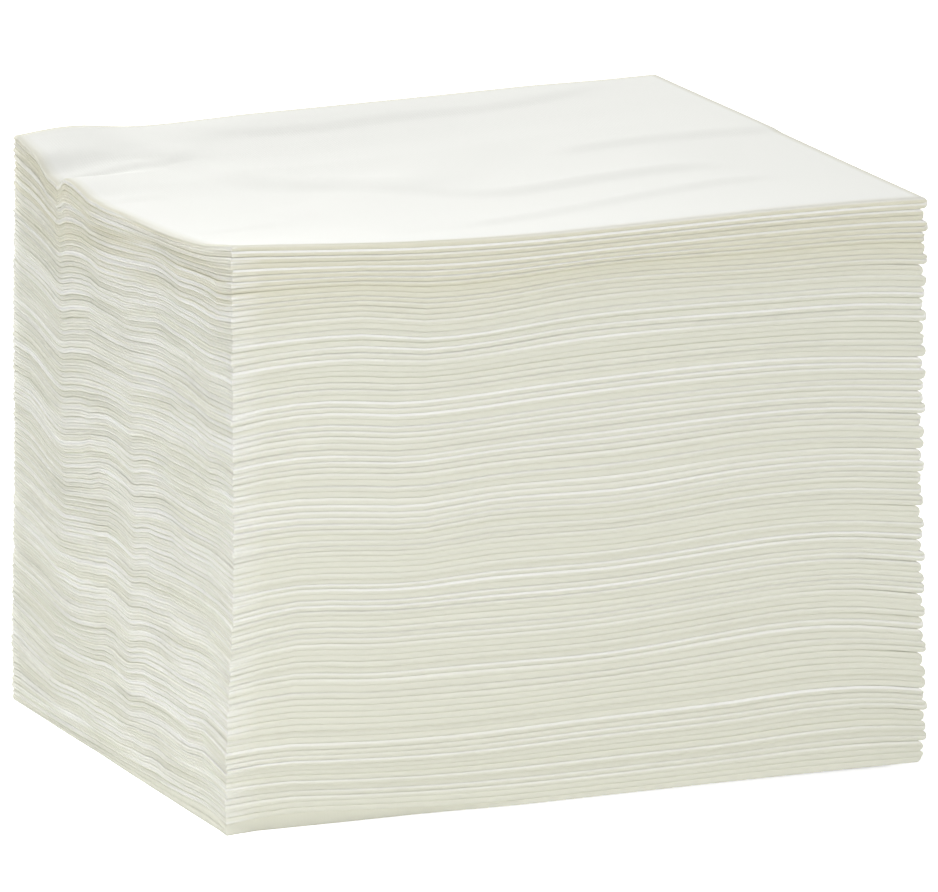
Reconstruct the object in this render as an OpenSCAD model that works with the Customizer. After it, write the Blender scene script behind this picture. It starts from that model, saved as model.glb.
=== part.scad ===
// Stack of nonwoven wipes, each folded in quarters. X runs along the long side,
// Y from the front to the back and Z up, with the origin under the middle of the stack.

/* [Stack] */
// Number of wipes
wipe_count = 50; // [2:1:60]
// Gap between one wipe and the next
wipe_gap = 0.1; // [0.06:0.02:0.4]
// How far a wipe's edges lie from the middle of the stack's ragged sides
slip = 0.6; // [0:0.1:2]

/* [Folded wipe] */
// Length of the folded wipe, along X
wipe_l = 190; // [80:1:300]
// Depth of the folded wipe, along Y
wipe_d = 170; // [80:1:300]
// Thickness of one ply of the cloth
ply_t = 0.65; // [0.3:0.05:1.5]
// Slit between two plies
ply_gap = 0.08; // [0.04:0.02:0.3]
// Length of the rounded noses at the front folds
front_nose_l = 1; // [0.6:0.1:3]
// Length of the bigger noses at the right end, where a whole wipe turns back
end_nose_l = 1.8; // [1:0.1:4]

/* [Corners] */
// How much higher the stack is at the back left corner than at the front left one
back_left_lift = 5.5; // [0:0.5:12]
// How much higher it is at the back right corner
back_right_lift = 13.5; // [0:0.5:20]
// How much higher it is at the front right corner
front_right_lift = 1; // [0:0.5:8]

/* [Waves] */
// Rise of the crest that runs along X
crest_rise = 2.5; // [0:0.5:6]
// Distance of that crest from the front
crest_from_front = 50; // [10:1:70]
// Depth of the valley that runs along X
valley_drop = 4; // [0:0.5:8]
// Distance of that valley from the back
valley_from_back = 38; // [5:1:70]
// Part of the crest and the valley that is lost from the left end to the right end
end_fade = 0.7; // [0:0.1:1]
// Rise of the hump that runs along Y
hump_rise = 2.5; // [0:0.5:6]
// Distance of that hump from the right end
hump_from_right = 40; // [10:1:70]
// Part of the hump that is lost from the front to the back
back_fade = 0.5; // [0:0.1:1]
// How far the top sags between its two left corners, which curl up
top_sag = 5.5; // [0:0.5:7]

/* [Creases of the top wipe] */
// Rise of the creases
crease_rise = 2; // [0:0.25:3]
// How far a crease slopes down to each side
crease_reach = 30; // [10:1:50]
// Air under the middle of the creased wipe
crease_air = 1.2; // [1:0.1:3]
// Largest distance between two of its bends, along X
bend_step_x = 26; // [15:1:80]
// Largest distance between two of its bends, along Y
bend_step_y = 30; // [15:1:80]

/* [Hidden] */

// A wipe is folded in half to the front and again to the right, so it has two pairs of plies.
pair_t = 2 * ply_t + ply_gap;
wipe_t = 2 * pair_t + ply_gap + wipe_gap;

// Edges of the stack, between which every wipe lies
end_x = wipe_l / 2 + slip;
end_y = wipe_d / 2 + slip;

// Lines along which the plies bend
crest_y = crest_from_front - wipe_d / 2;
valley_y = wipe_d / 2 - valley_from_back;
hump_x = wipe_l / 2 - hump_from_right;

// Lines of the creases from left to right, as shares of the wipe's length and depth
creases = [
    [[0.1, 0.95], [0.2, 0.65], [0.45, 0.35], [0.85, 0.3]],
    [[0.2, 0.95], [0.45, 0.9], [0.9, 0.95]],
    [[0, 0.75], [0.2, 0.75]],
    [[0.6, 0.55], [0.95, 0.5]],
    [[0.3, 0.1], [0.9, 0.2]]
];

// Turning from one wipe to the next by this angle spreads their slips evenly
golden_angle = 137.5;

// How far wipe k (from 0) has slipped to the right and to the back
function slip_x(k) = slip * sin(golden_angle * (k + 1));
function slip_y(k) = slip * cos(golden_angle * (k + 1));

// The plies bend along X and along Y, most at half the stack's height
function side_wave(y) =
    lookup(y, [[-end_y, 0], [crest_y, crest_rise], [valley_y, -valley_drop], [end_y, 0]]);
function front_wave(x) = lookup(x, [[-end_x, 0], [hump_x, hump_rise], [end_x, 0]]);
function wave(x, y) =
    side_wave(y) * (1 - end_fade * (x / end_x + 1) / 2)
    + front_wave(x) * (1 - back_fade * (y / end_y + 1) / 2);

// Lift of the stack's top at (x, y), blended from its four corners
function mix(a, b, share) = a + (b - a) * share;
function lift(x, y) =
    let (right = (x / end_x + 1) / 2, back = (y / end_y + 1) / 2)
    mix(mix(0, front_right_lift, right), mix(back_left_lift, back_right_lift, right), back);

// Sag of the top at (x, y), which fades towards the right end and in the layers below
function sag(x, y) =
    lookup(y, [[-end_y, 0], [crest_y, top_sag], [valley_y, top_sag], [end_y, 0]])
    * (1 - x / end_x) / 2;

// Height at (x, y) of a layer that has `below` wipes under it, which need not be a whole number
function layer_z(x, y, below) =
    let (share = below / wipe_count)
    below * wipe_t + share * lift(x, y) + sin(180 * share) * wave(x, y)
    - pow(share, 3) * sag(x, y);

// Distance of point p from the line between points a and b
function off_line(p, a, b) =
    let (along = (p - a) * (b - a) / ((b - a) * (b - a)))
    norm(p - a - max(0, min(1, along)) * (b - a));
function on_wipe(share) = [(share[0] - 0.5) * wipe_l, (share[1] - 0.5) * wipe_d];

// Rise of the creased wipe at (x, y) over a smooth one. It fades towards the folded edges.
function crease(x, y) =
    let (
        off = min([for (line = creases) for (i = [0 : len(line) - 2])
            off_line([x, y], on_wipe(line[i]), on_wipe(line[i + 1]))]),
        air = crease_air * lookup(x, [[-end_x, 0], [-end_x + bend_step_x, 1]])
            * lookup(y, [[end_y - bend_step_y, 1], [end_y, 0]])
    )
    (air + crease_rise * max(0, 1 - off / crease_reach))
    * lookup(x, [[hump_x, 1], [end_x - 2 * end_nose_l, 0]])
    * lookup(y, [[2 * front_nose_l - end_y, 0], [crest_y, 1]]);

function is_creased(k) = k == wipe_count - 1;

// The places of wipe k's bends along one side. The creased wipe has more, in even steps.
function with_more(k, places, step) =
    !is_creased(k) ? places :
    [each [for (i = [0 : len(places) - 2])
        let (steps = ceil(abs(places[i + 1] - places[i]) / step))
        for (j = [0 : steps - 1]) mix(places[i], places[i + 1], j / steps)], places[len(places) - 1]];

// Bends of a ply from the back edge to the start of the nose at the front
function bends(k) =
    let (front = -wipe_d / 2 + slip_y(k))
    with_more(k, [front + wipe_d, valley_y, crest_y, front + front_nose_l], bend_step_y);

// Outline of a pair of plies across X: [y, depth under the pair's outer skin as a share of pair_t].
// It goes under the pair, round the nose and back on top, and then round the slit.
function pair_outline(k) =
    let (y = bends(k), front = -wipe_d / 2 + slip_y(k), ply = ply_t / pair_t, last = len(y) - 1)
    concat(
        [for (i = [0 : last]) [y[i], 0]],
        [[front, 0.5]],
        [for (i = [last : -1 : 0]) [y[i], 1]],
        [for (i = [0 : last - 1]) [y[i], 1 - ply]],
        [[front + front_nose_l, 0.5]],
        [for (i = [last - 1 : -1 : 0]) [y[i], ply]]
    );

// Stations of the pair along X: [x, turn], where turn is 0 on the way out along the bottom of
// the wipe, 0.5 at the tip of the nose and 1 on the way back along the top
function stations(k) =
    let (
        right = wipe_l / 2 + slip_x(k),
        x = with_more(k, [right - wipe_l, hump_x, right - end_nose_l], bend_step_x),
        last = len(x) - 1
    )
    [for (i = [0 : last]) [x[i], 0], [right, 0.5], for (i = [last : -1 : 0]) [x[i], 1]];

// Corner of wipe k at a station and at a point of the outline. The tip of the nose is turned
// on its side, so there the skins follow each other along X.
function corner(k, station, point) =
    let (
        turn = station[1],
        depth = point[1],
        x = station[0] - (turn == 0.5 ? depth * end_nose_l : 0),
        level = mix(depth * pair_t, wipe_t - wipe_gap - depth * pair_t, turn) / wipe_t
    )
    [x, point[0], layer_z(x, point[0], k + level) + (is_creased(k) ? crease(x, point[0]) : 0)];

function corners(k) =
    [for (station = stations(k)) for (point = pair_outline(k)) corner(k, station, point)];

// True where the outline of n bends runs from the back to the front, the step down to the slit included
function runs_forward(i, n) = i < n || (i >= 2 * n && i < 3 * n);

// Two triangles for each step along the outline and each step between stations. Their shared
// edge runs the same way on every ply, so that the plies stay an even distance apart.
function skin_faces(n, station_count) = [
    for (s = [0 : station_count - 2]) for (i = [0 : 4 * n - 1])
        let (
            a = s * 4 * n + i,
            b = s * 4 * n + (i + 1) % (4 * n),
            c = a + 4 * n,
            d = b + 4 * n,
            way_out = s < (station_count - 1) / 2
        )
        each way_out == runs_forward(i, n) ? [[a, b, d], [a, d, c]] : [[a, b, c], [b, d, c]]
];

// Cut end of a pair: a strip along each ply and a fan round the tip of the slit at the nose
function cut_faces(n) =
    let (slit_tip = 3 * n)
    [
        for (i = [0 : n - 3]) each [
            [i, slit_tip + n - 1 - i, i + 1],
            [i + 1, slit_tip + n - 1 - i, slit_tip + n - 2 - i],
            [2 * n - i, 2 * n - 1 - i, 2 * n + 1 + i],
            [2 * n - 1 - i, 2 * n + 2 + i, 2 * n + 1 + i]
        ],
        [n - 2, slit_tip + 1, slit_tip],
        [n + 2, slit_tip, slit_tip - 1],
        for (i = [n - 2 : n + 1]) [i, slit_tip, i + 1]
    ];

function last_cut_faces(n, station_count) =
    let (first = (station_count - 1) * 4 * n)
    [for (face = cut_faces(n)) [face[2] + first, face[1] + first, face[0] + first]];

module wipe(k)
{
    n = len(bends(k));
    station_count = len(stations(k));
    faces = [
        each skin_faces(n, station_count),
        each cut_faces(n),
        each last_cut_faces(n, station_count)
    ];
    color([0.9, 0.91, 0.86]) polyhedron(points = corners(k), faces = faces);
}

for (i = [1 : wipe_count])
    wipe(i - 1);
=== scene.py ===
"""A stack of soft wipes, each folded in quarters, on a pale floor under plain studio light.

A Geometry Nodes tree folds the flat sheet twice. Each folded sheet is then laid on the ones
below it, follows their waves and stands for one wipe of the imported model.
"""

import math

import bpy
import numpy as np
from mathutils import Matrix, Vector


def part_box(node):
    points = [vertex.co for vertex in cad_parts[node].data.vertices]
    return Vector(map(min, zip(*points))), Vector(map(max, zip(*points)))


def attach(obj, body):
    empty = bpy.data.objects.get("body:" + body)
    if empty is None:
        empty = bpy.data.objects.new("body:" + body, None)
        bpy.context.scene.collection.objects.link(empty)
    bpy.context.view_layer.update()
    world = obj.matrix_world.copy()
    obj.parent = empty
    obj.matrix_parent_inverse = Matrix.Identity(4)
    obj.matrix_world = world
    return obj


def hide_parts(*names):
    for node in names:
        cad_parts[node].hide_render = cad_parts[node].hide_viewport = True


bl_info = {
    "name": "Stack of folded wipes",
    "version": (1, 0, 0),
    "blender": (4, 5, 0),
    "location": "View3D > Sidebar > Wipes",
    "description": "Folds soft wipes in quarters and lays them in a wavy stack",
    "category": "Object",
}

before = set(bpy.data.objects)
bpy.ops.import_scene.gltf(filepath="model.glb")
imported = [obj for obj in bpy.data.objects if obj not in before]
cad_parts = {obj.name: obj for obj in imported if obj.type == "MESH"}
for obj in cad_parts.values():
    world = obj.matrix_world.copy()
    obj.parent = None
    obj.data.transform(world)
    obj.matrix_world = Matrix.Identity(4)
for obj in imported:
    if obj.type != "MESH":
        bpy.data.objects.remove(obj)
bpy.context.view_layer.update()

WIPE_NODES = sorted(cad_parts)
BASE_LOW, BASE_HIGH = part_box(WIPE_NODES[0])
MM = 0.001

# Sides of the flat stack, in metres, before it bends and slips
LENGTH = round(BASE_HIGH[0] - BASE_LOW[0], 4)
DEPTH = round(BASE_HIGH[1] - BASE_LOW[1], 4)
LEFT, FRONT = -LENGTH / 2, -DEPTH / 2

# Heights of the layers. At each share of the stack's height, the pairs are the
# distance from the near left corner and the rise there, both in mm.
LEFT_WAVES = {
    0.00: ((0, 1.5), (15, 2.5), (35, 1.5), (60, 1), (90, 0.5), (130, 0), (170, 0)),
    0.10: (
        (0, 0), (15, 2), (33, 0.5), (50, 1.5), (65, 0.5), (75, -0.5), (90, 0), (105, -0.5),
        (120, -1), (130, -1.5), (142, -1), (150, 0), (170, 2.5),
    ),
    0.25: (
        (0, 0.5), (10, 2), (20, 2.5), (35, 1.5), (50, 2), (65, 1), (76, -1), (80, -0.5), (92, 0.5),
        (106, -1.5), (118, -2.5), (130, -2), (150, 0.5), (170, 2.5),
    ),
    0.40: (
        (0, -2), (16, 0), (30, 0.5), (50, 1), (65, 0), (76, -1.5), (80, -1), (92, 0.5), (106, -1.5),
        (120, -3), (131, -4), (142, -2.5), (155, 0), (170, 2),
    ),
    0.55: (
        (0, 0), (20, 0.5), (37, 1), (55, 1.5), (66, 0.5), (76, -1), (80, -0.5), (92, 0.5), (107, -1),
        (120, -3), (131, -4.5), (142, -2.5), (155, 1), (170, 2),
    ),
    0.75: (
        (0, -1.5), (18, -1.5), (37, 0.5), (56, 1.5), (72, 0), (78, -0.5), (90, 0), (107, 0), (120, -1.5),
        (131, -3.5), (142, -1), (150, 1), (170, 4),
    ),
    0.90: (
        (0, 1), (10, 0), (30, 1), (38, 0.5), (54, 1.5), (72, 0.5), (86, 0), (98, -0.5), (120, 0.5),
        (127, 0), (132, -1.5), (142, 0.5), (155, 2.5), (170, 5),
    ),
    1.00: (
        (0, 3.5), (8, 2.5), (20, 1), (40, 0), (85, 0), (100, 0), (110, 0.5), (115, 1.5), (126, 3),
        (129, 3), (134, 0.5), (137, 1), (144, 2.5), (150, 5.5), (160, 7.5), (170, 9),
    ),
}
FRONT_WAVES = {
    0.00: ((0, 1.5), (13, 2.5), (35, 1.5), (65, 0), (110, 0), (150, 0.5), (190, 0)),
    0.10: (
        (0, 1.5), (13, 2), (25, 1), (57, -0.5), (95, 0), (134, 0.5), (158, 1.5),
        (178, 1), (190, -0.5),
    ),
    0.30: (
        (0, -0.5), (13, 1.5), (40, -0.5), (57, -0.5), (100, 0), (134, 2), (150, 3),
        (167, 3), (190, 0),
    ),
    0.50: (
        (0, -0.5), (13, 0.5), (35, -0.5), (48, -1.5), (68, 0), (105, 0), (145, 2.5),
        (165, 2.5), (190, 0),
    ),
    0.70: (
        (0, -2), (13, -0.5), (24, -0.5), (46, -2.5), (60, -2), (80, -0.5), (100, 0.5),
        (155, 1.5), (190, -0.5),
    ),
    0.85: (
        (0, -2), (25, -0.5), (35, -0.5), (52, -2.5), (68, -2), (90, 0), (145, 1),
        (178, 1), (190, 0),
    ),
    1.00: (
        (0, 0), (20, -0.5), (50, -1.5), (80, -1.5), (110, -0.5), (150, 1), (178, 1.5),
        (190, 1.5),
    ),
}
# Rise of the near left corner, where the stack gapes over its lowest ply
CORNER_RISE = ((0, 1.5), (0.1, 1), (0.3, 0), (1, 0))

# Creases of the top: points from left to right in mm from the near left corner,
# height of the ridge behind the line, half the width of its steep front and length of its
# gentle back, all in mm.
CREASES = (
    (((20, 165), (30, 147), (36, 132), (40, 112), (48, 98), (60, 90), (70, 83), (85, 65)), 1.8, 6, 25),
    (((60, 88), (80, 68), (90, 58), (105, 56), (125, 58), (150, 57), (165, 52)), 1.2, 4, 25),
    (((-5, 136), (15, 136), (25, 137), (35, 135), (45, 130)), 0.5, 2.5, 10),
    (((10, 148), (20, 146), (30, 142), (38, 134)), 0.5, 2.5, 10),
    (((-3, 101), (10, 101), (20, 100)), 0.4, 2, 10),
    (((3, 40), (16, 43), (35, 48)), 0.5, 2.5, 12),
    (((34, 69), (41, 59), (46, 50), (49, 38), (51, 15)), 0.8, 7, 20),
    (((60, 16), (75, 21), (96, 26), (118, 32), (143, 37), (172, 38)), 0.8, 3, 20),
    (((120, 92), (145, 94), (166, 93), (195, 88)), 1, 3.5, 25),
    (((40, 165), (55, 155), (80, 151), (105, 153), (130, 151), (155, 156), (178, 166)), 0.7, 3.5, 30),
)

# Small ripples of the layers: strength, length of a cell of the noise along X, Y and Z in mm, and
# the plane of the noise where each starts. The first is for the left end only.
LEFT_RIPPLE = (1, (60, 9, 9), 0)
RIPPLES = ((0.5, (35, 50, 8), 9.5), (0.8, (50, 30, 14), 19.5), (0.4, (70, 60, 4), 5.5))

# How far effects reach inwards from the sides
LEFT_RIPPLE_REACH = 30 * MM
SIDE_REACH = 8 * MM
CUT_REACH = 6 * MM
RIM_REACH = 2 * MM
CUT_RIM_REACH = 1 * MM
EDGE_REACH = 3 * MM
# The left end's own waves reach this far, and are evened over a wider stretch of Y from there on.
LEFT_WAVE_REACH = 18 * MM
EVENED_OVER_MM = range(-15, 16, 5)

# How uneven the sides are, and how the lowest and the highest wipes lie
FRONT_UNEVEN = 0.4 * MM
END_UNEVEN = 0.3 * MM
CUT_UNEVEN = 0.2 * MM
ROUND_OFF = 0.04 * MM
FOOT_RECESS = 2 * MM
FOOT_TUCK = 1.5 * MM
TOP_LEAN = 1 * MM

# The top's creases sink into the layers below it. Beside the notch at its left end it has a bump.
CREASES_SINK = 10 * MM
CREASED_DEPTH = 40 * MM
BUMP_RISE = 2 * MM
BUMP_FROM_LEFT = 16 * MM
BUMP_HALF_WIDTH = 14 * MM
BUMP_REACH = 20 * MM

# Cells of the mesh on one half of the flat sheet, and round a fold. The top wipe shows its creases.
CELLS = {"Columns": 22, "Rows": 34, "Fold steps": 6}
TOP_CELLS = {"Columns": 96, "Rows": 96}

# Two pairs of plies read the noise this far apart.
ROW_STEP = 7.3

# Cells per metre of the cloth's fibres and of its thicker and thinner patches, the share of the
# fibres in its felt, how deep the dots are pressed into it, and the height of the felt
FIBRES_PER_M = 2600.0
PATCHES_PER_M = 160.0
FIBRE_SHARE = 0.6
DOT_DEPTH = 0.5
FELT_HEIGHT = 0.12 * MM

# Pixels of the photograph's frame, where the middle of the stack is seen
PHOTO_WIDTH, PHOTO_HEIGHT = 938, 892
STACK_MIDDLE_PX = (457.5, 456)
STACK_MIDDLE = Vector((0, 0, 0.075))

# A wide floor, which shows white beyond the foot of the stack
FLOOR_HALF = 6.0
FLOOR_TONE = 0.9
FLOOR_GLOW = 0.8
FOOT_MARGIN = 10 * MM


class WipeSettings(bpy.types.PropertyGroup):
    """Sizes of one folded wipe"""

    ply: bpy.props.FloatProperty(
        name="Ply",
        description="Thickness of the cloth",
        default=0.65 * MM,
        min=0.0003,
        subtype="DISTANCE",
    )
    slit: bpy.props.FloatProperty(
        name="Slit",
        description="Air between two plies",
        default=0.08 * MM,
        min=0.00002,
        subtype="DISTANCE",
    )
    gap: bpy.props.FloatProperty(
        name="Gap",
        description="Air between two wipes",
        default=0.1 * MM,
        min=0.00002,
        subtype="DISTANCE",
    )
    front_nose: bpy.props.FloatProperty(
        name="Front nose",
        description="How far the front folds bulge",
        default=0.12 * MM,
        subtype="DISTANCE",
    )
    end_nose: bpy.props.FloatProperty(
        name="End nose",
        description="How far the end folds bulge",
        default=1.1 * MM,
        subtype="DISTANCE",
    )
    cut_recess: bpy.props.FloatProperty(
        name="Cut recess",
        description="How far the outer skin of a pair of plies stays back at its cut edges",
        default=0.25 * MM,
        subtype="DISTANCE",
    )


class StackSettings(bpy.types.PropertyGroup):
    """How the wipes lie in the stack"""

    slip: bpy.props.FloatProperty(
        name="Slip",
        description="How far a wipe lies off the middle",
        default=0.6 * MM,
        subtype="DISTANCE",
    )
    back_right_lift: bpy.props.FloatProperty(
        name="Back right lift",
        description="How much higher the stack is at its back right corner",
        default=13.5 * MM,
        subtype="DISTANCE",
    )
    loft: bpy.props.FloatProperty(
        name="Loft",
        description="How much higher the soft stack is than its layers when flat",
        default=1.012,
    )
    foot_lift: bpy.props.FloatProperty(
        name="Foot lift",
        description="Rise of the lowest wipe at the front right",
        default=2 * MM,
        subtype="DISTANCE",
    )
    flare: bpy.props.FloatProperty(
        name="Flare",
        description="How far the lower wipes bulge to each side",
        default=1.3 * MM,
        subtype="DISTANCE",
    )
    rim: bpy.props.FloatProperty(
        name="Rim",
        description="How far the strongest front folds stand out",
        default=0.7 * MM,
        subtype="DISTANCE",
    )
    ripple: bpy.props.FloatProperty(
        name="Ripple",
        description="Height of the small ripples",
        default=0.5 * MM,
        subtype="DISTANCE",
    )
    seed: bpy.props.IntProperty(name="Seed", description="Seed of all that is random", default=7)


class ClothSettings(bpy.types.PropertyGroup):
    """Colours and emboss of the cloth, with the painted shade at its sides and the painted highlight on
    its rims
    """

    face: bpy.props.FloatVectorProperty(
        name="Face",
        description="Colour of the cloth's face",
        subtype="COLOR",
        size=4,
        default=(0.88, 0.885, 0.845, 1),
    )
    # Painted shade: a darker olive at folds and cuts stands in for the shade and warm bounce light in
    # the slits between plies.
    edge: bpy.props.FloatVectorProperty(
        name="Edge",
        description="Colour at folds and cuts",
        subtype="COLOR",
        size=4,
        default=(0.72, 0.72, 0.62, 1),
    )
    # Painted shade near the top of the stack: darker and yellower, for the deeper shade between the
    # looser top layers and the weaker bounce light there.
    top_shade: bpy.props.FloatVectorProperty(
        name="Top edge",
        description="The same near the top",
        subtype="COLOR",
        size=4,
        default=(0.69, 0.675, 0.545, 1),
    )
    # Painted highlight: rims that stand out keep this light colour in place of the painted shade, as if
    # they caught the light.
    rim: bpy.props.FloatVectorProperty(
        name="Rim",
        description="Colour of the rims that stand out",
        subtype="COLOR",
        size=4,
        default=(0.86, 0.86, 0.83, 1),
    )
    dot_pitch: bpy.props.FloatProperty(
        name="Dot pitch",
        description="Distance between the pressed dots",
        default=1.1 * MM,
        subtype="DISTANCE",
    )


class StudioSettings(bpy.types.PropertyGroup):
    """Light, floor and camera"""

    sky: bpy.props.FloatProperty(
        name="Sky",
        description="Strength of the light from all sides",
        default=0.3,
    )
    key: bpy.props.FloatProperty(
        name="Key",
        description="Power of the lamp above",
        default=6.3,
        unit="POWER",
    )
    back: bpy.props.FloatProperty(
        name="Back light",
        description="Power of the lamp above and behind",
        default=16.2,
        unit="POWER",
    )
    front: bpy.props.FloatProperty(
        name="Front light",
        description="Power of the lamp level with the stack in front",
        default=2.45,
        unit="POWER",
    )
    pool: bpy.props.FloatProperty(
        name="Floor light",
        description="Power of the lamp that lights the near floor",
        default=0.25,
        unit="POWER",
    )
    front_card: bpy.props.FloatProperty(
        name="Front card", description="Power of the low card in front", default=0.37, unit="POWER"
    )
    left_card: bpy.props.FloatProperty(
        name="Left card",
        description="Power of the low card on the left",
        default=0.36,
        unit="POWER",
    )
    distance: bpy.props.FloatProperty(
        name="Distance",
        description="From the camera to the stack's middle",
        default=1.8,
        subtype="DISTANCE",
    )
    azimuth: bpy.props.FloatProperty(
        name="Azimuth",
        description="Turn of the camera to the left",
        default=math.radians(-22.35),
        subtype="ANGLE",
    )
    elevation: bpy.props.FloatProperty(
        name="Elevation",
        description="Height of the camera",
        default=math.radians(10.42),
        subtype="ANGLE",
    )
    focal_px: bpy.props.FloatProperty(
        name="Focal length", description="In pixels of the photograph's frame", default=6806.0
    )


class SettingsOfAll(bpy.types.PropertyGroup):
    """All settings of the stack"""

    wipe: bpy.props.PointerProperty(type=WipeSettings)
    stack: bpy.props.PointerProperty(type=StackSettings)
    cloth: bpy.props.PointerProperty(type=ClothSettings)
    studio: bpy.props.PointerProperty(type=StudioSettings)


class NodeSums:
    """Adds math nodes to a tree, so that a formula reads from left to right"""

    def __init__(self, tree):
        self.tree = tree

    def math(self, operation, *values, clamp=False):
        node = self.tree.nodes.new("ShaderNodeMath")
        node.operation = operation
        node.use_clamp = clamp
        for socket, value in zip(node.inputs, values):
            if isinstance(value, bpy.types.NodeSocket):
                self.tree.links.new(value, socket)
            else:
                socket.default_value = value
        return node.outputs[0]

    def add(self, a, b):
        return self.math("ADD", a, b)

    def minus(self, a, b):
        return self.math("SUBTRACT", a, b)

    def times(self, a, b):
        return self.math("MULTIPLY", a, b)

    def over(self, a, b):
        return self.math("DIVIDE", a, b)


def folding_tree():
    """A closed slab, the flat sheet, is folded to the front along X and then to the right along Y."""
    tree = bpy.data.node_groups.new("Folded wipe", "GeometryNodeTree")
    sockets = (
        ("Length", "NodeSocketFloat", LENGTH),
        ("Depth", "NodeSocketFloat", DEPTH),
        ("Ply", "NodeSocketFloat", 0.0),
        ("Slit", "NodeSocketFloat", 0.0),
        ("Front nose", "NodeSocketFloat", 0.0),
        ("End nose", "NodeSocketFloat", 0.0),
        ("Cut recess", "NodeSocketFloat", 0.0),
        ("Columns", "NodeSocketInt", 24),
        ("Rows", "NodeSocketInt", 24),
        ("Fold steps", "NodeSocketInt", 6),
        ("Cloth", "NodeSocketMaterial", None),
    )
    for name, kind, default in sockets:
        socket = tree.interface.new_socket(name, in_out="INPUT", socket_type=kind)
        if default is not None:
            socket.default_value = default
    tree.interface.new_socket("Wipe", in_out="OUTPUT", socket_type="NodeSocketGeometry")
    start = tree.nodes.new("NodeGroupInput").outputs
    end = tree.nodes.new("NodeGroupOutput")
    sums = NodeSums(tree)
    add, minus, times, over = sums.add, sums.minus, sums.times, sums.over

    def steps_of(cells):
        """Steps across the flat sheet, and the share of them that lies in the fold."""
        steps = add(times(cells, 2.0), start["Fold steps"])
        return steps, over(start["Fold steps"], steps)

    columns, end_share = steps_of(start["Columns"])
    rows, front_share = steps_of(start["Rows"])
    slab = tree.nodes.new("GeometryNodeMeshCube")
    slab.inputs["Size"].default_value = (2, 2, 1)
    slab.inputs["Vertices Z"].default_value = 2
    tree.links.new(add(columns, 1.0), slab.inputs["Vertices X"])
    tree.links.new(add(rows, 1.0), slab.inputs["Vertices Y"])
    position = tree.nodes.new("GeometryNodeInputPosition")
    across = tree.nodes.new("ShaderNodeSeparateXYZ")
    tree.links.new(position.outputs[0], across.inputs[0])
    along_x, along_y, through = across.outputs

    def fold(place, share):
        """Angle round the fold, and how far the rest of the half has run from it, from 0 to 1."""
        turn = sums.math("MINIMUM", sums.math("MAXIMUM", over(place, share), -1.0), 1.0)
        rest = sums.math("MAXIMUM", minus(sums.math("ABSOLUTE", place), share), 0.0)
        return times(turn, math.pi / 2), over(rest, minus(1.0, share))

    def is_cut(place):
        return sums.math("GREATER_THAN", sums.math("ABSOLUTE", place), 0.999)

    # First fold: the two plies of a pair, the upper one behind the fold
    angle, run = fold(along_y, front_share)
    middle = times(add(start["Ply"], start["Slit"]), 0.5)
    radius = add(middle, times(through, start["Ply"]))
    outer = add(middle, times(start["Ply"], 0.5))
    nose = times(times(over(radius, outer), start["Front nose"]), sums.math("COSINE", angle))
    recess = times(start["Cut recess"], add(through, 0.5))
    y = add(minus(start["Front nose"], nose), times(run, minus(start["Depth"], start["Front nose"])))
    y = minus(y, times(recess, is_cut(along_y)))
    level = times(radius, sums.math("SINE", angle))

    # Second fold: the pair turns back over itself at the right end
    angle, run = fold(along_x, end_share)
    pair = add(times(start["Ply"], 2.0), start["Slit"])
    radius = minus(times(add(pair, start["Slit"]), 0.5), level)
    outer = add(pair, times(start["Slit"], 0.5))
    nose = times(times(over(radius, outer), start["End nose"]), sums.math("COSINE", angle))
    straight = minus(start["Length"], start["End nose"])
    x = add(minus(straight, times(run, straight)), nose)
    x = add(x, times(recess, is_cut(along_x)))
    z = add(times(radius, sums.math("SINE", angle)), outer)

    place = tree.nodes.new("ShaderNodeCombineXYZ")
    for value, socket in zip((x, y, z), place.inputs):
        tree.links.new(value, socket)

    # The cloth's own pattern lies on the flat sheet, so it is kept as a UV map in metres.
    flat = tree.nodes.new("ShaderNodeCombineXYZ")
    tree.links.new(times(along_x, start["Length"]), flat.inputs["X"])
    tree.links.new(times(along_y, start["Depth"]), flat.inputs["Y"])
    store = tree.nodes.new("GeometryNodeStoreNamedAttribute")
    store.data_type = "FLOAT2"
    store.domain = "CORNER"
    store.inputs["Name"].default_value = "UVMap"
    tree.links.new(slab.outputs["Mesh"], store.inputs["Geometry"])
    tree.links.new(flat.outputs[0], store.inputs["Value"])

    move = tree.nodes.new("GeometryNodeSetPosition")
    smooth = tree.nodes.new("GeometryNodeSetShadeSmooth")
    realize = tree.nodes.new("GeometryNodeRealizeInstances")
    paint = tree.nodes.new("GeometryNodeSetMaterial")
    tree.links.new(store.outputs[0], move.inputs["Geometry"])
    tree.links.new(place.outputs[0], move.inputs["Position"])
    tree.links.new(move.outputs[0], smooth.inputs[0])
    tree.links.new(smooth.outputs[0], realize.inputs[0])
    tree.links.new(realize.outputs[0], paint.inputs["Geometry"])
    tree.links.new(start["Cloth"], paint.inputs["Material"])
    tree.links.new(paint.outputs[0], end.inputs[0])
    return tree


def fold_sheet(name, tree, sizes):
    """Runs the folding tree once and returns its result as a plain mesh object."""
    holder = bpy.data.objects.new(name, bpy.data.meshes.new(name))
    bpy.context.scene.collection.objects.link(holder)
    modifier = holder.modifiers.new("Fold", "NODES")
    modifier.node_group = tree
    for item in tree.interface.items_tree:
        if item.in_out == "INPUT" and item.name in sizes:
            modifier[item.identifier] = sizes[item.name]
    depsgraph = bpy.context.evaluated_depsgraph_get()
    mesh = bpy.data.meshes.new_from_object(holder.evaluated_get(depsgraph))
    holder.modifiers.remove(modifier)
    holder.data = mesh
    mesh.name = name
    return holder


def smoothstep(low, high, value):
    share = np.clip((value - low) / (high - low), 0, 1)
    return share * share * (3 - 2 * share)


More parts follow.
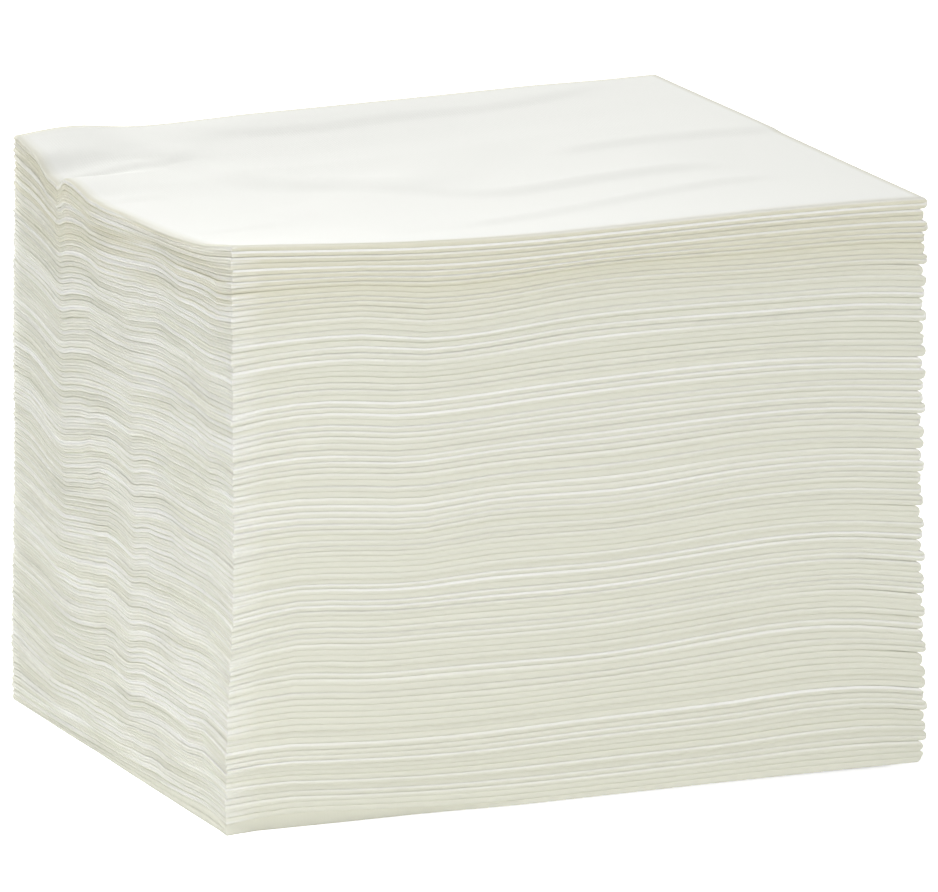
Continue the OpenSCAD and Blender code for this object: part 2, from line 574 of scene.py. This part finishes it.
def smooth_curve(knots, at):
    """A smooth line through the knots, held level beyond the first and the last."""
    x, y = np.array(knots, float).T
    slope = np.gradient(y, x)
    i = np.clip(np.searchsorted(x, at) - 1, 0, len(x) - 2)
    step = x[i + 1] - x[i]
    t = np.clip((at - x[i]) / step, 0, 1)
    bend = t * t * (3 - 2 * t)
    start_pull = t * (1 - t) ** 2 * step * slope[i]
    end_pull = t * t * (t - 1) * step * slope[i + 1]
    return y[i] * (1 - bend) + y[i + 1] * bend + start_pull + end_pull


def wave_height(waves, along, share):
    """Rise in metres at a distance along a side, blended between the levels of the stack."""
    levels = sorted(waves)
    heights = np.array([smooth_curve(waves[level], along / MM) for level in levels])
    i = np.clip(np.searchsorted(levels, share) - 1, 0, len(levels) - 2)
    low, high = np.array(levels)[i], np.array(levels)[i + 1]
    blend = smoothstep(0, 1, (share - low) / (high - low))
    columns = np.arange(len(share))
    return (heights[i, columns] * (1 - blend) + heights[i + 1, columns] * blend) * MM


class Noise:
    """Smooth random values on a lattice that repeats every 32 cells"""

    def __init__(self, seed):
        self.lattice = np.random.default_rng(seed).uniform(-1, 1, (32, 32, 32))

    def __call__(self, *axes):
        cells = [np.floor(axis).astype(int) for axis in axes]
        shares = [smoothstep(0, 1, axis - cell) for axis, cell in zip(axes, cells)]
        total = 0
        for corner in np.ndindex(2, 2, 2):
            weight = np.prod([s if up else 1 - s for s, up in zip(shares, corner)], axis=0)
            total = total + weight * self.lattice[tuple((c + up) % 32 for c, up in zip(cells, corner))]
        return total


def slips(settings, number):
    """How far this wipe has slipped to the right and to the back."""
    golden_angle = math.radians(137.5)
    turn = golden_angle * (number + 1)
    return settings.slip * math.sin(turn), settings.slip * math.cos(turn)


def crowd_rows(y):
    """Moves the mesh's rows closer together where the layers bend sharply."""
    evenly = (0, 60 * MM, 88 * MM, 118 * MM, 150 * MM, DEPTH)
    crowded = (0, 68 * MM, 84 * MM, 126 * MM, 142 * MM, DEPTH)
    return np.interp(y, evenly, crowded)


def across_path(knots, x, y):
    """Distance from a line, positive behind it, and how much of the line is passed, from 0 to 1"""
    path_x = np.linspace(knots[0][0], knots[-1][0], 40)
    path = np.stack([path_x, smooth_curve(knots, path_x)], axis=1) * MM
    lengths = np.linalg.norm(np.diff(path, axis=0), axis=1)
    passed = np.concatenate([[0], np.cumsum(lengths)]) / lengths.sum()
    distance = np.full(len(x), np.inf)
    share = np.zeros(len(x))
    for i, (start, end) in enumerate(zip(path[:-1], path[1:])):
        way_x, way_y = end - start
        from_x, from_y = x - start[0], y - start[1]
        t = np.clip((from_x * way_x + from_y * way_y) / (way_x**2 + way_y**2), 0, 1)
        away = np.hypot(from_x - t * way_x, from_y - t * way_y)
        nearer = away < np.abs(distance)
        side = np.where(way_x * from_y - way_y * from_x >= 0, 1, -1)
        distance = np.where(nearer, side * away, distance)
        share = np.where(nearer, passed[i] + t * (passed[i + 1] - passed[i]), share)
    return distance, share


def creases(x, y):
    """Height of the creased top at (x, y)."""
    total = np.zeros(len(x))
    for knots, height, half_width, slope in CREASES:
        distance, share = across_path(knots, x, y)
        distance = distance / MM
        step = smoothstep(-half_width, half_width, distance) * np.exp(-np.maximum(distance, 0) / slope)
        fade = smoothstep(0, 0.2, share) * smoothstep(1, 0.8, share)
        total += height * step * fade
    return total * MM


def left_wave(x, y, share):
    """Rise of the layers at the left end over the near left corner, smoother away from the end"""
    here = wave_height(LEFT_WAVES, y, share)
    around = np.mean([wave_height(LEFT_WAVES, y + step * MM, share) for step in EVENED_OVER_MM], axis=0)
    blend = np.exp(-((x / LEFT_WAVE_REACH) ** 2))
    return here * blend + around * (1 - blend) - wave_height(LEFT_WAVES, 0 * y, share)


class Noises:
    """What is random in the stack: noises for outlines and ripples, and the rims that stand out"""

    def __init__(self, seed):
        self.shape = Noise(seed)
        self.ripple = Noise(seed + 1)
        rng = np.random.default_rng(seed)
        pairs = 2 * len(WIPE_NODES)
        chance = np.linspace(0.4, 0.85, pairs)
        most = np.linspace(0.55, 1.1, pairs)
        self.strength = np.where(rng.random(pairs) < chance, most * rng.uniform(0.35, 1, pairs), 0)
        self.strength[-1] = 0.5

    def rims(self, pair, up_pair):
        """How far the front stands out at a height in a pair, and whether that pair's rim is one.

        Below each rim the front slopes back to the next rim that stands out.
        """
        rims = np.flatnonzero(self.strength)
        above = np.searchsorted(rims, pair)
        high = rims[above]
        low = np.where(above > 0, rims[above - 1], -1)
        climb = (pair + up_pair - low - 1) / (high - low)
        return self.strength[high] * climb, high == pair


class WipePoints:
    """The points of one folded wipe, and their place in a stack that neither bends nor slips"""

    def __init__(self, points, number, wipe, noises):
        self.number = number
        self.pair = 2 * wipe.ply + wipe.slit
        wipe_height = 2 * self.pair + wipe.slit + wipe.gap
        self.stack_height = wipe_height * len(WIPE_NODES)
        self.x, flat_y, self.level = points.T
        self.y = crowd_rows(flat_y)
        self.to_right, self.to_back = self.x / LENGTH, self.y / DEPTH
        self.below = number * wipe_height + self.level
        self.share = self.below / self.stack_height

        # Place in the pair of plies, from 0 at its underside to 1
        upper_pair = self.level > self.pair + wipe.slit / 2
        self.up_pair = (self.level - upper_pair * (self.pair + wipe.slit)) / self.pair
        self.is_upper = upper_pair.astype(int)
        self.is_lowest = (number == 0) & ~upper_pair
        self.row = (2 * number + upper_pair) * ROW_STEP

        self.rim, self.is_rim = noises.rims(2 * number + upper_pair, self.up_pair)
        comes_and_goes = noises.shape(self.x / (50 * MM), self.row * self.is_rim, 6.5 + 0 * self.x)
        self.rim_fade = np.clip(0.8 + 0.8 * comes_and_goes, 0, 1.4)


def outline(at, stack, noises):
    """Places as seen from above: rims that stand out, ends that slip and a foot that bulges.

    A noise is read in cells of a length in mm, each effect on its own plane of the noise.
    """
    x, y = at.x, at.y
    near_front = np.exp(-y / SIDE_REACH)
    near_end = np.exp(-(LENGTH - x) / SIDE_REACH)
    near_cut = np.exp(-x / CUT_REACH)

    round_off = (ROUND_OFF + 0.9 * stack.rim * at.is_rim * at.rim_fade) * np.exp(-y / RIM_REACH)
    round_off = round_off * np.clip(2 * at.up_pair - 1, 0, 1) ** 2
    uneven = FRONT_UNEVEN * noises.ripple(x / (90 * MM), 2.5 + 0 * x, at.below / (9 * MM))
    front_out = (stack.rim * at.rim * at.rim_fade + uneven) * near_front - round_off
    recess = FOOT_RECESS * smoothstep(0, 4 * MM, x) * smoothstep(80 * MM, 50 * MM, x) * near_front
    front_out = np.where(at.is_lowest, -recess, front_out)

    end_out = END_UNEVEN * noises.shape(y / (40 * MM), at.row, 3.5 + 0 * x) * near_end
    cut_in = CUT_UNEVEN * noises.shape(y / (25 * MM), at.row, at.level / (0.7 * MM)) * near_cut
    rng = np.random.default_rng(stack.seed + at.number)
    blunt = rng.uniform(0, 0.5 * MM, 2)[at.is_upper] * np.exp(-(x + y) / (2.5 * MM))

    flare = stack.flare * smoothstep(0.5, 0.05, at.share)
    tuck = FOOT_TUCK * smoothstep(0.03, 0, at.share) * near_end
    lean = TOP_LEAN * smoothstep(0.6, 1, at.share) * at.to_back
    outward = flare * (3 * at.to_right - 2) * (1 - 0.5 * at.to_back) + lean * (1 - at.to_right) - tuck

    slip_x, slip_y = slips(stack, at.number)
    place_x = LEFT + x + slip_x * (0.2 + 0.8 * at.to_right) + end_out + outward - cut_in - blunt
    place_y = FRONT + y + slip_y * 0.3 - front_out - blunt - 0.5 * flare * (1 - at.to_back)
    return place_x, place_y


def long_waves(at, stack):
    """Rise that follows the waves of the left side and the front, and the lifted corners."""
    left = left_wave(at.x, at.y, at.share)
    right = at.share * stack.back_right_lift * at.to_back
    front = wave_height(FRONT_WAVES, at.x, at.share) - wave_height(FRONT_WAVES, 0 * at.x, at.share)
    corner = smooth_curve(CORNER_RISE, at.share) * MM * (1 - at.to_right * at.to_back)
    return left * (1 - at.to_right) + right * at.to_right + front * (1 - at.to_back) + corner


def small_ripples(at, noise):
    """Ripples of about 1, which die away at the floor and at the top."""

    def ripple(strength, cells, plane):
        along_x, along_y, along_z = np.array(cells) * MM
        return strength * noise(at.x / along_x, at.y / along_y, plane + at.below / along_z)

    total = np.exp(-at.x / LEFT_RIPPLE_REACH) * ripple(*LEFT_RIPPLE)
    for values in RIPPLES:
        total = total + ripple(*values)
    return total * smoothstep(0, 0.05, at.share) * smoothstep(1, 0.9, at.share)


def fluff(at, slit):
    """How far fluffy folds and cuts swell into the narrow slits"""
    swell = 0.4 * slit * np.interp(at.up_pair, (0, 0.47, 0.53, 1), (-1, 1, -1, 1))
    swell = swell * np.maximum(np.exp(-at.y / RIM_REACH), np.exp(-at.x / RIM_REACH))
    return np.where(at.below > 0, swell, 0)


def heights(at, wipe, stack, noises):
    """Heights of the points: long waves, small ripples, the top's creases and the fluffy edges."""
    rise = long_waves(at, stack) + stack.ripple * small_ripples(at, noises.ripple)
    # Nothing dips into the floor.
    rise = np.where(rise < 0, rise * smoothstep(0, 0.06, at.share), rise)
    under_top = at.stack_height - wipe.gap - at.below
    if under_top.min() < CREASED_DEPTH:
        off_bump = (at.x - BUMP_FROM_LEFT) / BUMP_HALF_WIDTH
        bump = BUMP_RISE * np.exp(-(off_bump**2) - (DEPTH - at.y) / BUMP_REACH)
        rise = rise + (creases(at.x, at.y) + bump) * np.exp(-under_top / CREASES_SINK)
    rise = np.where(at.is_lowest, rise * at.level / at.pair, rise)
    foot = stack.foot_lift * (1 - at.share) * smoothstep(0, LENGTH, at.x) * (1 - at.to_back)
    return at.below * stack.loft + rise + foot + fluff(at, wipe.slit)


def shades(at, noises):
    """Shares of the painted shade at the sides, of the painted highlight on rims that stand out and of
    the darker painted shade near the top, at each point
    """
    # Painted highlight on the front rims that stand out and on random stretches of the left cut edges
    front_rim = at.rim * at.is_rim * at.rim_fade * smoothstep(0.5, 0.75, at.up_pair)
    cut_rim = 0.3 + 0.9 * noises.shape(at.y / (30 * MM), at.row, 11.5 + at.level / (0.5 * MM))
    cut_rim = np.clip(cut_rim, 0, 1) * np.exp(-at.x / CUT_RIM_REACH)
    pale = np.maximum(1.6 * front_rim * np.exp(-at.y / RIM_REACH), cut_rim)
    nearest = np.minimum(np.minimum(at.x, LENGTH - at.x), np.minimum(at.y, DEPTH - at.y))
    return {
        # Painted shade near every side of the folded sheet
        "edge": 1 - smoothstep(0, EDGE_REACH, nearest),
        # Painted highlight on rims; the lowest ply gets none and stays in painted shade.
        "pale": np.where(at.is_lowest, 0, np.clip(pale, 0, 1)),
        # Painted shade that grows darker and yellower near the top of the stack
        "shaded_top": smoothstep(0.82, 0.95, at.share),
    }


def lay(mesh, number, settings, noises):
    """Moves a flat folded wipe to its place in the wavy stack, and stores its shades."""
    wipe, stack = settings.wipe, settings.stack
    at = WipePoints(read_points(mesh), number, wipe, noises)
    place_x, place_y = outline(at, stack, noises)
    write_points(mesh, np.stack([place_x, place_y, heights(at, wipe, stack, noises)], axis=1))
    store_shares(mesh, shades(at, noises))


def read_points(mesh):
    points = np.empty(len(mesh.vertices) * 3)
    mesh.vertices.foreach_get("co", points)
    return points.reshape(-1, 3)


def write_points(mesh, points):
    mesh.vertices.foreach_set("co", points.ravel())
    mesh.update()


def store_shares(mesh, shares):
    """Stores values of the points, by name, for the cloth's shader."""
    for name, values in shares.items():
        attribute = mesh.attributes.new(name, "FLOAT", "POINT")
        attribute.data.foreach_set("value", np.asarray(values, dtype=np.float32))


class ShaderTree:
    """The nodes of a material or of the world, made and joined in short calls"""

    def __init__(self, tree):
        self.tree = tree
        self.sums = NodeSums(tree)

    def fill(self, socket, value):
        """Joins a socket to another one, or gives it a value."""
        if isinstance(value, bpy.types.NodeSocket):
            self.tree.links.new(value, socket)
        else:
            socket.default_value = value

    def node(self, kind, properties=None, **inputs):
        node = self.tree.nodes.new(kind)
        for name, value in (properties or {}).items():
            setattr(node, name, value)
        for name, value in inputs.items():
            self.fill(node.inputs[name.replace("_", " ")], value)
        return node


def cloth_material(settings):
    """Soft matt nonwoven: short fibres in all directions and small pressed dots in diagonal rows."""
    material = bpy.data.materials.new("Nonwoven cloth")
    material.use_nodes = True
    nodes = ShaderTree(material.node_tree)
    shader = material.node_tree.nodes["Principled BSDF"]
    sums = nodes.sums
    flat = nodes.node("ShaderNodeUVMap", {"uv_map": "UVMap"}).outputs["UV"]

    fibres = nodes.node("ShaderNodeTexNoise", Vector=flat, Scale=FIBRES_PER_M, Detail=3.0, Roughness=0.6)
    patches = nodes.node("ShaderNodeTexNoise", Vector=flat, Scale=PATCHES_PER_M, Detail=2.0)
    across = nodes.node("ShaderNodeSeparateXYZ", Vector=flat)
    u, v = across.outputs["X"], across.outputs["Y"]
    turn = math.pi * math.sqrt(2) / settings.dot_pitch
    rows = sums.math("SINE", sums.times(sums.add(u, v), turn))
    columns = sums.math("SINE", sums.times(sums.minus(u, v), turn))
    dots = sums.math("MAXIMUM", sums.times(rows, columns), 0.0)
    fibre_height = sums.times(fibres.outputs["Fac"], FIBRE_SHARE)
    felt = sums.add(fibre_height, sums.times(patches.outputs["Fac"], 1 - FIBRE_SHARE))
    height = sums.minus(felt, sums.times(dots, DOT_DEPTH))
    bump = nodes.node("ShaderNodeBump", Height=height, Strength=0.35, Distance=FELT_HEIGHT)
    material.node_tree.links.new(bump.outputs["Normal"], shader.inputs["Normal"])

    def blend(name, low, high):
        """From one colour to another by the share that is stored under the name"""
        share = nodes.node("ShaderNodeAttribute", {"attribute_name": name}).outputs["Fac"]
        mix = nodes.node("ShaderNodeMix", {"data_type": "RGBA"})
        sockets = {socket.identifier: socket for socket in mix.inputs}
        nodes.fill(sockets["Factor_Float"], share)
        nodes.fill(sockets["A_Color"], low)
        nodes.fill(sockets["B_Color"], high)
        return next(socket for socket in mix.outputs if socket.identifier == "Result_Color")

    # The sides take a painted shade, darker and yellower near the top; rims that stand out take a
    # painted highlight instead.
    side = blend("pale", blend("shaded_top", settings.edge, settings.top_shade), settings.rim)
    tone = blend("edge", settings.face, side)
    material.node_tree.links.new(tone, shader.inputs["Base Color"])
    shader.inputs["Roughness"].default_value = 0.9
    shader.inputs["Specular IOR Level"].default_value = 0.2
    return material


class WIPES_OT_stack(bpy.types.Operator):
    """Fold the wipes and lay them in a stack"""

    bl_idname = "wipes.stack"
    bl_label = "Wipes"

    def execute(self, context):
        settings = context.scene.folded_wipes
        wipe = settings.wipe
        tree = folding_tree()
        noises = Noises(settings.stack.seed)
        sizes = {
            "Ply": wipe.ply,
            "Slit": wipe.slit,
            "Front nose": wipe.front_nose,
            "End nose": wipe.end_nose,
            "Cut recess": wipe.cut_recess,
            "Cloth": cloth_material(settings.cloth),
            **CELLS,
        }
        for number, node in enumerate(WIPE_NODES):
            if node == WIPE_NODES[-1]:
                sizes.update(TOP_CELLS)
            cloth = fold_sheet(node.replace("wipe", "folded_cloth"), tree, sizes)
            lay(cloth.data, number, settings, noises)
            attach(cloth, "root")
            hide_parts(node)
        return {"FINISHED"}


def look_at(obj, target):
    obj.rotation_euler = (Vector(target) - obj.location).to_track_quat("-Z", "Y").to_euler()


def softbox(name, place, target, size, power):
    """A lamp of the given width and height that faces the target."""
    light = bpy.data.lights.new(name, "AREA")
    light.shape = "RECTANGLE"
    light.size, light.size_y = size
    light.energy = power
    lamp = bpy.data.objects.new(name, light)
    lamp.location = place
    bpy.context.scene.collection.objects.link(lamp)
    look_at(lamp, target)
    return lamp


def shown_as_background(nodes):
    """1 for the rays that show the background: those of the camera, of gloss and of glass."""
    path = nodes.node("ShaderNodeLightPath").outputs
    gloss = nodes.sums.math("MAXIMUM", path["Is Camera Ray"], path["Is Glossy Ray"])
    return nodes.sums.math("MAXIMUM", gloss, path["Is Transmission Ray"])


def white_world(settings):
    """White to look at, and an even light of the given strength."""
    world = bpy.data.worlds.new("Studio")
    bpy.context.scene.world = world
    world.use_nodes = True
    nodes = ShaderTree(world.node_tree)
    background = world.node_tree.nodes["Background"]
    background.inputs["Color"].default_value = (1, 1, 1, 1)
    seen = shown_as_background(nodes)
    strength = nodes.sums.add(nodes.sums.times(seen, 1 - settings.sky), settings.sky)
    world.node_tree.links.new(strength, background.inputs["Strength"])


def pale_floor():
    """A wide floor that shows white and keeps the stack's shadow."""
    mesh = bpy.data.meshes.new("floor")
    corners = [(x * FLOOR_HALF, y * FLOOR_HALF, 0) for x, y in ((-1, -1), (1, -1), (1, 1), (-1, 1))]
    mesh.from_pydata(corners, [], [(0, 1, 2, 3)])
    floor = bpy.data.objects.new("floor", mesh)
    bpy.context.scene.collection.objects.link(floor)
    material = bpy.data.materials.new("Pale floor")
    material.use_nodes = True
    nodes = ShaderTree(material.node_tree)
    shader = material.node_tree.nodes["Principled BSDF"]
    shader.inputs["Base Color"].default_value = (FLOOR_TONE, FLOOR_TONE, FLOOR_TONE, 1)
    shader.inputs["Roughness"].default_value = 1.0
    shader.inputs["Specular IOR Level"].default_value = 0.0
    shader.inputs["Emission Color"].default_value = (1, 1, 1, 1)
    sums = nodes.sums
    place = nodes.node("ShaderNodeTexCoord").outputs["Object"]
    x, y, _ = nodes.node("ShaderNodeSeparateXYZ", Vector=place).outputs
    beyond_x = sums.minus(sums.math("ABSOLUTE", x), LENGTH / 2 - FOOT_MARGIN)
    beyond_y = sums.minus(sums.math("ABSOLUTE", y), DEPTH / 2 - FOOT_MARGIN)
    beyond_foot = sums.math("MAXIMUM", beyond_x, beyond_y)
    clear = sums.math("MULTIPLY", beyond_foot, 2 / FOOT_MARGIN, clamp=True)
    glow = sums.times(sums.times(shown_as_background(nodes), clear), FLOOR_GLOW)
    material.node_tree.links.new(glow, shader.inputs["Emission Strength"])
    mesh.materials.append(material)


def photo_camera(settings):
    """The photograph's view of the stack."""
    azimuth, elevation = settings.azimuth, settings.elevation
    back = Vector(
        (
            math.sin(azimuth) * math.cos(elevation),
            -math.cos(azimuth) * math.cos(elevation),
            math.sin(elevation),
        )
    )
    data = bpy.data.cameras.new("Photo camera")
    data.sensor_width = 36
    data.lens = settings.focal_px / PHOTO_WIDTH * data.sensor_width
    data.shift_x = (PHOTO_WIDTH / 2 - STACK_MIDDLE_PX[0]) / PHOTO_WIDTH
    data.shift_y = (STACK_MIDDLE_PX[1] - PHOTO_HEIGHT / 2) / PHOTO_WIDTH
    camera = bpy.data.objects.new("Photo camera", data)
    camera.location = STACK_MIDDLE + back * settings.distance
    bpy.context.scene.collection.objects.link(camera)
    look_at(camera, STACK_MIDDLE)
    bpy.context.scene.camera = camera


class WIPES_OT_stage(bpy.types.Operator):
    """Set the floor, the light and the camera"""

    bl_idname = "wipes.stage"
    bl_label = "Stage"

    def execute(self, context):
        studio = context.scene.folded_wipes.studio
        context.scene.view_settings.view_transform = "Standard"
        white_world(studio)
        pale_floor()
        softbox("Key", (-0.2, -0.5, 1.35), (0, 0, 0.1), (0.6, 0.6), studio.key)
        softbox("Back light", (-0.25, 1.3, 0.9), (0, 0, 0.1), (0.6, 0.6), studio.back)
        softbox("Front light", (-0.15, -1.2, 0.2), (0, -0.085, 0.075), (0.8, 0.5), studio.front)
        pool = softbox("Floor light", (-0.24, -0.3, 0.9), (-0.24, -0.31, 0), (0.2, 0.2), studio.pool)
        pool.data.spread = math.radians(60)
        softbox("Front card", (0.05, -0.4, 0.018), (0, -0.085, 0.06), (0.7, 0.03), studio.front_card)
        softbox("Left card", (-0.42, 0, 0.018), (-0.095, 0, 0.06), (0.6, 0.03), studio.left_card)
        photo_camera(studio)
        return {"FINISHED"}


class WIPES_PT_panel(bpy.types.Panel):
    """Lists the steps in the sidebar"""

    bl_idname = "WIPES_PT_panel"
    bl_label = "Folded wipes"
    bl_space_type = "VIEW_3D"
    bl_region_type = "UI"
    bl_category = "Wipes"

    def draw(self, context):
        for group in (WIPES_OT_stack, WIPES_OT_stage):
            self.layout.operator(group.bl_idname)
        settings = context.scene.folded_wipes
        for part in (settings.wipe, settings.stack, settings.cloth, settings.studio):
            box = self.layout.box()
            for name in part.__annotations__:
                box.prop(part, name)


CLASSES = (
    WipeSettings,
    StackSettings,
    ClothSettings,
    StudioSettings,
    SettingsOfAll,
    WIPES_OT_stack,
    WIPES_OT_stage,
    WIPES_PT_panel,
)


def register():
    for cls in CLASSES:
        bpy.utils.register_class(cls)
    bpy.types.Scene.folded_wipes = bpy.props.PointerProperty(type=SettingsOfAll)


def unregister():
    del bpy.types.Scene.folded_wipes
    for cls in reversed(CLASSES):
        bpy.utils.unregister_class(cls)


def main():
    register()
    bpy.ops.wipes.stage()
    bpy.ops.wipes.stack()


if __name__ == "__main__":
    main()
